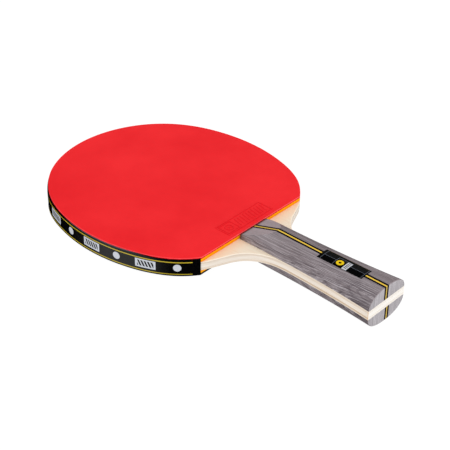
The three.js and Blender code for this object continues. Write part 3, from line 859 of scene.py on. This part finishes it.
def tape():
    s_plus = _run  # from the +Y corner
    tangent = np.gradient(HEAD, s_plus, axis=0)
    tangent /= np.linalg.norm(tangent, axis=1, keepdims=True)
    normal = np.column_stack([tangent[:, 1], -tangent[:, 0]])
    s = np.concatenate([[TAPE_SHORT_FAR], s_plus[(s_plus > TAPE_SHORT_FAR + 0.2) & (s_plus < BAND_LENGTH - TAPE_SHORT - 0.2)],
                        [BAND_LENGTH - TAPE_SHORT]])
    px, py = np.interp(s, s_plus, HEAD[:, 0]), np.interp(s, s_plus, HEAD[:, 1])
    nx, ny = np.interp(s, s_plus, normal[:, 0]), np.interp(s, s_plus, normal[:, 1])
    t, lo, hi = TAPE_T + GLUE, TAPE_LOW, TAPE_HIGH
    lean = 0.0
    section = [(GLUE, lo), (t - 0.20, lo), (t - 0.10, lo + 0.03), (t - 0.03, lo + 0.10), (t, lo + 0.22)]
    section += [(t, h) for h in np.linspace(lo + 0.8, hi - 2.2, 9)]
    section += [(t - 0.04, hi - 1.6), (t - 0.10, hi - 0.9), (t - 0.14, hi - 0.35), (t - 0.18, hi - 0.12),
                (t - 0.25, hi - 0.02), (t - 0.32, hi), (GLUE, hi)]
    m = len(section)
    verts, band = [], []
    for i in range(len(s)):
        w = ripple(np.array([s[i]]), 61, (9, 23, 61))[0]
        w2 = ripple(np.array([s[i]]), 62, (5, 13, 31))[0]
        ang = math.degrees(math.atan2(py[i], px[i] - HEAD_X)) % 360
        near = lambda a, width: math.exp(-(((ang - a) / width) ** 2))
        lift = near(228, 9)  # the tape stands off the edge here
        low = 0.35 * near(312, 11)
        high = 0.28 * near(292, 7) - 0.24 * near(256, 10)
        for o, h in section:
            mid = max(0.0, 1 - abs(h) / 6.0)
            oo = o + (0.012 * w2 * mid - 0.012 * mid + 0.45 * lift if o > 0.2 else 0)
            hh = h + (0.03 * w + (high if h > 0 else low) if abs(h) > 5 else 0)
            y = min(max(py[i] + ny[i] * oo, CAD_LO[1] * 1000 + 0.01), CAD_HI[1] * 1000 - 0.01)
            verts.append((px[i] + nx[i] * oo, y, hh))
            band.append((BAND_LENGTH - s[i], h, 0))
    faces = []
    for i in range(len(s) - 1):
        for j in range(m):
            k = (j + 1) % m
            faces.append((i * m + j, (i + 1) * m + j, (i + 1) * m + k, i * m + k))
    faces.append(tuple(range(m)))
    faces.append(tuple((len(s) - 1) * m + j for j in range(m - 1, -1, -1)))
    obj = new_object("edge_tape", verts, faces, [tape_material()], smooth=True, sharp_deg=50)
    at = obj.data.attributes.new("band", "FLOAT_VECTOR", "POINT")
    at.data.foreach_set("vector", np.array(band, np.float32).ravel())
    return obj


tape()

# ------------------------------------------------------------------ handle scales
def dome():
    """One scale, whole: a loft of half ovals from the rubber to the butt, with the bevel sawn off it."""
    bm = bmesh.new()
    stations = np.concatenate([[SCALE_X0], np.arange(26, 47, 0.6), np.arange(47, 126, 1.6), [126.4, 127.6, 128.2]])
    steps = 64
    rows = []

    def row(x, grow_h=0.0, grow_w=0.0):
        w = float(half_width(x)) - grow_w
        out = []
        for i in range(steps + 1):
            a = math.pi * i / steps
            c, s = math.cos(a), math.sin(a)
            p = 2 / CROWN
            out.append(bm.verts.new((x, math.copysign(w * abs(c) ** p, c) if abs(c) > 1e-9 else 0.0,
                                     FACE + GLUE + (SCALE_H - GLUE - grow_h) * s**p)))
        return out

    for x in stations:
        rows.append(row(float(x)))
    # eased rim at the butt
    ease = 0.28
    for t in (0.33, 0.66, 1.0):
        a = t * math.pi / 2
        rows.append(row(BUTT_X - ease + ease * math.sin(a), ease * (1 - math.cos(a)), ease * (1 - math.cos(a))))
    for a, b in zip(rows, rows[1:]):
        for i in range(steps):
            bm.faces.new((a[i], a[i + 1], b[i + 1], b[i]))
        bm.faces.new((a[steps], a[0], b[0], b[steps]))
    bm.faces.new(list(reversed(rows[0])))
    bm.faces.new(rows[-1])
    bmesh.ops.recalc_face_normals(bm, faces=bm.faces)
    for f in bm.faces:
        f.smooth = True
    slope = (SCALE_H - BEVEL_LOW) / BEVEL_LEN
    n = Vector((-slope, 0, 1)).normalized()
    cut(bm, Vector((CUT_X, 0, FACE + BEVEL_LOW)), n, crease=True)
    return bm


def cut(bm, co, no, crease=False):
    """Keeps the part of bm behind the plane, and closes the cut with one flat face."""
    geom = bm.verts[:] + bm.edges[:] + bm.faces[:]
    out = bmesh.ops.bisect_plane(bm, geom=geom, dist=1e-6, plane_co=co, plane_no=no, clear_outer=True)
    edges = [e for e in out["geom_cut"] if isinstance(e, bmesh.types.BMEdge) and e.is_boundary]
    made = bmesh.ops.contextual_create(bm, geom=edges)
    for f in made["faces"]:
        f.smooth = False
        if f.normal.dot(no) < 0:
            f.normal_flip()
        for e in f.edges:
            e.smooth = False
    return made["faces"]


whole = dome()
y1, y2, g = STRIP_Y1, STRIP_Y2, GLUE / 4
STRIPS = [
    ("scale_right", y2 + g, None, GREY, "grey_wood"),
    ("inlay_black_right", y1 + g, y2 - g, NAVY, "black_veneer"),
    ("inlay_yellow", -y1 + g, y1 - g, YELLOW, "yellow_veneer"),
    ("inlay_black_left", -y2 + g, -y1 - g, NAVY, "black_veneer"),
    ("scale_left", None, -y2 - g, GREY, "grey_wood"),
]
SWAP = {"scale_left": "scale_right", "scale_right": "scale_left",
        "inlay_black_left": "inlay_black_right", "inlay_black_right": "inlay_black_left"}


def scale_piece(prefix, name, low, high, material, slot):
    bm = whole.copy()
    if low is not None:
        cut(bm, Vector((SKEW_X, low, 0)), Vector((-SKEW, -1, 0)).normalized())
    if high is not None:
        cut(bm, Vector((SKEW_X, high, 0)), Vector((SKEW, 1, 0)).normalized())
    if prefix == "rear":
        for v in bm.verts:
            v.co = Vector((v.co.x, -v.co.y, -v.co.z))
        name = SWAP.get(name, name)
    for v in bm.verts:
        v.co = Vector((v.co.x, v.co.y, v.co.z + MID_Z)) / 1000
    bm.normal_update()
    for e in bm.edges:
        if len(e.link_faces) == 2 and e.calc_face_angle(0) > math.radians(40):
            e.smooth = False
    mesh = bpy.data.meshes.new(f"{prefix}_{name}")
    bm.to_mesh(mesh)
    bm.free()
    flags = np.zeros(len(mesh.polygons), bool)
    mesh.polygons.foreach_get("use_smooth", flags)
    return adopt(f"{prefix}_{name}", mesh, [material], smooth=flags, sharp_deg=None)


for prefix in ("front", "rear"):
    for strip in STRIPS:
        scale_piece(prefix, *strip)
whole.free()


# ------------------------------------------------------------------ badge
def badge():
    """A thin crowned plate with eased edges, lying along the front scale's crown."""
    r = 0.16
    x0, x1, w = BADGE_X0, BADGE_X1, BADGE_HALF
    us = np.concatenate([[x0], x0 + r * (1 - np.cos(np.linspace(0, math.pi / 2, 5)[1:])), np.arange(x0 + 0.8, x1 - 0.5, 0.6),
                         x1 - r * (1 - np.cos(np.linspace(math.pi / 2, 0, 5)[:-1])), [x1]])
    vs = np.concatenate([[-w], -w + r * (1 - np.cos(np.linspace(0, math.pi / 2, 5)[1:])), np.arange(-w + 0.5, w - 0.3, 0.3),
                         w - r * (1 - np.cos(np.linspace(math.pi / 2, 0, 5)[:-1])), [w]])
    nu, nv = len(us), len(vs)
    X, Y = np.meshgrid(us, vs, indexing="ij")

    def ease(d):
        d = np.clip(d / r, 0, 1)
        return 1 - np.sqrt(1 - (1 - d) ** 2)

    drop = r * np.maximum(ease(np.minimum(X - x0, x1 - X)), ease(np.minimum(Y + w, w - Y)))
    top = crown(X, Y) + BADGE_PROUD - drop
    low = crown(X, Y) + 0.02
    verts = np.vstack([np.column_stack([X.ravel(), Y.ravel(), top.ravel()]), np.column_stack([X.ravel(), Y.ravel(), low.ravel()])])
    faces = []
    o = nu * nv
    idx = lambda i, j: i * nv + j
    for i in range(nu - 1):
        for j in range(nv - 1):
            faces.append((idx(i, j), idx(i + 1, j), idx(i + 1, j + 1), idx(i, j + 1)))
            faces.append((o + idx(i, j), o + idx(i, j + 1), o + idx(i + 1, j + 1), o + idx(i + 1, j)))
    for i in range(nu - 1):
        faces.append((idx(i, 0), o + idx(i, 0), o + idx(i + 1, 0), idx(i + 1, 0)))
        faces.append((idx(i, nv - 1), idx(i + 1, nv - 1), o + idx(i + 1, nv - 1), o + idx(i, nv - 1)))
    for j in range(nv - 1):
        faces.append((idx(0, j), idx(0, j + 1), o + idx(0, j + 1), o + idx(0, j)))
        faces.append((idx(nu - 1, j), o + idx(nu - 1, j), o + idx(nu - 1, j + 1), idx(nu - 1, j + 1)))
    return new_object("handle_badge", verts, faces, [badge_material()], smooth=True, sharp_deg=50)


badge()

# ------------------------------------------------------------------ stage, light and camera
scene = bpy.context.scene
scene.view_settings.view_transform = "Standard"
scene.view_settings.look = "None"
scene.view_settings.exposure = 0.0
scene.view_settings.gamma = 1.0

world = bpy.data.worlds.new("studio")
scene.world = world
world.use_nodes = True
world.node_tree.nodes["Background"].inputs[0].default_value = (1, 1, 1, 1)
world.node_tree.nodes["Background"].inputs[1].default_value = 1.0
world.cycles_visibility.glossy = False

# floor: it touches the rear rubber at the tip and the rear scale's belly
TOUCH_X, TIP_X, TIP_H = 44.9, -128.6, 5.8
slope = TIP_H / (TOUCH_X - TIP_X)
fm = bpy.data.meshes.new("studio_floor")
S = 12000.0
corners = [(-S, -S), (S, -S), (S, S), (-S, S)]
fm.from_pydata([(x / 1000, y / 1000, (slope * (TOUCH_X - x) - 0.02) / 1000) for x, y in corners], [], [(0, 1, 2, 3)])
floor = bpy.data.objects.new("studio_floor", fm)
scene.collection.objects.link(floor)
fl = Mat("studio_floor", 0.9, 0.0)
fl.color((0.07, 0.07, 0.07, 1))
fl.bsdf.inputs["Emission Color"].default_value = (1, 1, 1, 1)
fl.bsdf.inputs["Emission Strength"].default_value = 0.98
fm.materials.append(fl.m)
floor.visible_glossy = False
floor.visible_shadow = False


def area(name, location, target, size, power, color=(1, 1, 1)):
    l = bpy.data.lights.new(name, "AREA")
    l.shape = "RECTANGLE"
    l.size, l.size_y = size
    l.energy = power
    l.color = color
    o = bpy.data.objects.new(name, l)
    o.location = location
    o.visible_camera = False
    o.rotation_mode = "QUATERNION"
    o.rotation_quaternion = (Vector(target) - Vector(location)).to_track_quat("-Z", "Y")
    scene.collection.objects.link(o)
    return o


area("key", (0.55, 0.15, 1.5), (0, 0, 0.01), (1.2, 1.2), 3.0)
area("right", (1.6, -0.1, 0.55), (0.05, 0, 0.01), (1.0, 0.8), 2.7)

area("low", (-0.17, -0.545, -0.334), (-0.02, -0.078, 0.0125), (0.54, 0.34), 0.46)

cam_data = bpy.data.cameras.new("camera")
cam_data.sensor_width = 36
cam_data.lens = 105.737
cam_data.shift_x = -0.00076
cam_data.shift_y = -0.00055
cam_data.clip_start, cam_data.clip_end = 0.01, 100
cam = bpy.data.objects.new("camera", cam_data)
right = Vector((0.742039, 0.670259, 0.011421))
up = -Vector((0.380889, -0.407537, -0.829962))
back = -Vector((-0.551635, 0.620215, -0.557703))
rot = Matrix((right, up, back)).transposed()
cam.matrix_world = Matrix.Translation(Vector((0.46703, -0.52287, 0.47948))) @ rot.to_4x4()
scene.collection.objects.link(cam)
scene.camera = cam
